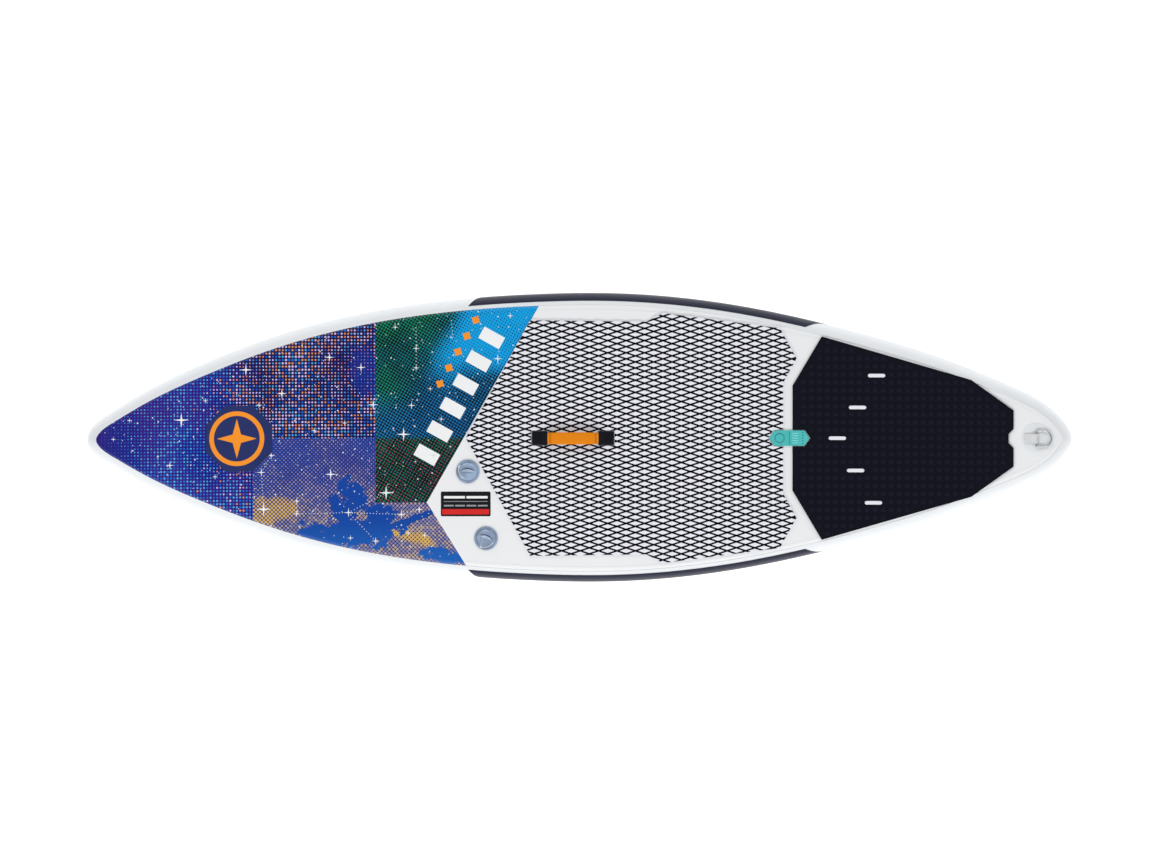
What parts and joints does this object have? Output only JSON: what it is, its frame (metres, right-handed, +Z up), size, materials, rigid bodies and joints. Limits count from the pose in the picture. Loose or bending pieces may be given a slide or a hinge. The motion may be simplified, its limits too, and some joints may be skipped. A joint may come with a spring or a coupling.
{
  "type": "inflatable surf board",
  "caption": "Inflatable surf board with printed deck, two traction pads, carry handle, two air valves, tail leash ring and a fin box with removable fin.",
  "frame": {"origin": "under the middle of the board's length and width, level with the centre fin's tip", "axes": "+X from nose to tail, +Y to the side, +Z up from hull to deck"},
  "size_m": [2.5911, 0.7624, 0.4749],
  "materials": {
    "deck_print": "printed PVC, satin",
    "hull_pvc": "coated fabric, satin",
    "rail_pvc": "coated fabric, satin",
    "navy_pvc": "coated fabric, gloss",
    "inner_fabric": "coated fabric, matte",
    "yarn": "polyester yarn",
    "white_foam": "brushed EVA foam",
    "dark_foam": "embossed EVA foam",
    "teal_rubber": "moulded rubber",
    "label_film": "printed film",
    "black_rubber": "moulded rubber",
    "black_webbing": "woven nylon",
    "orange_neoprene": "neoprene with nylon face",
    "patch_pvc": "coated fabric, satin",
    "white_webbing": "woven polyester",
    "stainless": "polished",
    "brass": "turned",
    "box_plastic": "moulded nylon",
    "fin_plastic": "moulded nylon",
    "valve_grey": "translucent moulded plastic",
    "valve_white": "moulded plastic",
    "seal_rubber": "silicone rubber"
  },
  "bodies": {
    "board": {"deck_panel_front": "deck_print", "deck_panel_middle": "deck_print", "deck_panel_rear": "deck_print", "hull_panel": "hull_pvc", "sidewall_left": "rail_pvc", "sidewall_right": "rail_pvc", "rail_tape_left": "rail_pvc", "rail_tape_right": "rail_pvc", "rail_band_left": "navy_pvc", "rail_band_right": "navy_pvc", "inner_chamber": "inner_fabric", "inner_drop_stitch_yarns": "yarn", "outer_drop_stitch_yarns": "yarn", "traction_pad": "white_foam", "tail_pad": "dark_foam", "marker_tag": "teal_rubber", "spec_label": "label_film", "handle_anchor_front": "black_rubber", "handle_anchor_rear": "black_rubber", "handle_strap": "black_webbing", "d_ring_patch": "patch_pvc", "d_ring_loop": "white_webbing", "fin_box_patch": "navy_pvc", "fin_box": "box_plastic", "side_fin_base_left": "box_plastic", "side_fin_base_right": "box_plastic", "side_fin_left": "fin_plastic", "side_fin_right": "fin_plastic", "outer_valve_body": "valve_grey", "outer_valve_gasket": "seal_rubber", "outer_valve_lock_nut": "valve_grey", "outer_valve_spring": "stainless", "inner_valve_body": "valve_grey", "inner_valve_gasket": "seal_rubber", "inner_valve_lock_nut": "valve_grey", "inner_valve_spring": "stainless"},
    "leash_ring": {"d_ring": "stainless"},
    "handle_grip": {"handle_sleeve": "orange_neoprene"},
    "fin_assembly": {"center_fin": "fin_plastic", "fin_pin": "brass", "fin_plate": "brass"},
    "fin_screw": {"fin_screw": "stainless"},
    "outer_cap_tether": {"outer_valve_cap_tether": "valve_grey"},
    "outer_cap": {"outer_valve_cap": "valve_grey", "outer_valve_cap_seal": "seal_rubber"},
    "outer_stem": {"outer_valve_stem": "valve_white", "outer_valve_stem_seal": "seal_rubber"},
    "inner_cap_tether": {"inner_valve_cap_tether": "valve_grey"},
    "inner_cap": {"inner_valve_cap": "valve_grey", "inner_valve_cap_seal": "seal_rubber"},
    "inner_stem": {"inner_valve_stem": "valve_white", "inner_valve_stem_seal": "seal_rubber"}
  },
  "joints": [
    {"name": "outer_cap_swing", "type": "hinge", "parent": "board", "child": "outer_cap_tether", "pos_m": [-0.2624, -0.28894, 0.31894], "axis": [0.866, -0.5, 0], "range_deg": [0, 140]},
    {"name": "outer_cap_turn", "type": "hinge", "parent": "outer_cap_tether", "child": "outer_cap", "pos_m": [-0.248, -0.264, 0.31894], "axis": [0, 0, 1], "range_deg": [0, 90]},
    {"name": "outer_stem_press", "type": "slide", "parent": "board", "child": "outer_stem", "axis": [0, 0, -1], "range_m": [0, 0.006], "stiffness_N_per_m": 700, "springref_m": -0.004, "deforming": ["outer_valve_spring"]},
    {"name": "inner_cap_swing", "type": "hinge", "parent": "board", "child": "inner_cap_tether", "pos_m": [-0.32094, -0.0736, 0.31894], "axis": [-0.5, -0.866, 0], "range_deg": [0, 140]},
    {"name": "inner_cap_turn", "type": "hinge", "parent": "inner_cap_tether", "child": "inner_cap", "pos_m": [-0.296, -0.088, 0.31894], "axis": [0, 0, 1], "range_deg": [0, 90]},
    {"name": "inner_stem_press", "type": "slide", "parent": "board", "child": "inner_stem", "axis": [0, 0, -1], "range_m": [0, 0.006], "stiffness_N_per_m": 700, "springref_m": -0.004, "deforming": ["inner_valve_spring"]},
    {"name": "d_ring_flip", "type": "hinge", "parent": "board", "child": "leash_ring", "pos_m": [1.19935, 0, 0.36665], "axis": [0, -1, 0], "range_deg": [0, 160]},
    {"name": "handle_lift", "type": "slide", "parent": "board", "child": "handle_grip", "axis": [0, 0, 1], "range_m": [0, 0.012], "deforming": ["handle_strap"]},
    {"name": "center_fin_slide", "type": "slide", "parent": "board", "child": "fin_assembly", "axis": [0.997, 0, 0.078], "range_m": [-0.055, 0.055]},
    {"name": "fin_screw_turn", "type": "hinge", "parent": "fin_assembly", "child": "fin_screw", "pos_m": [0.93124, 0, 0.18813], "axis": [-0.078, 0, 0.997], "continuous": true}
  ]
}
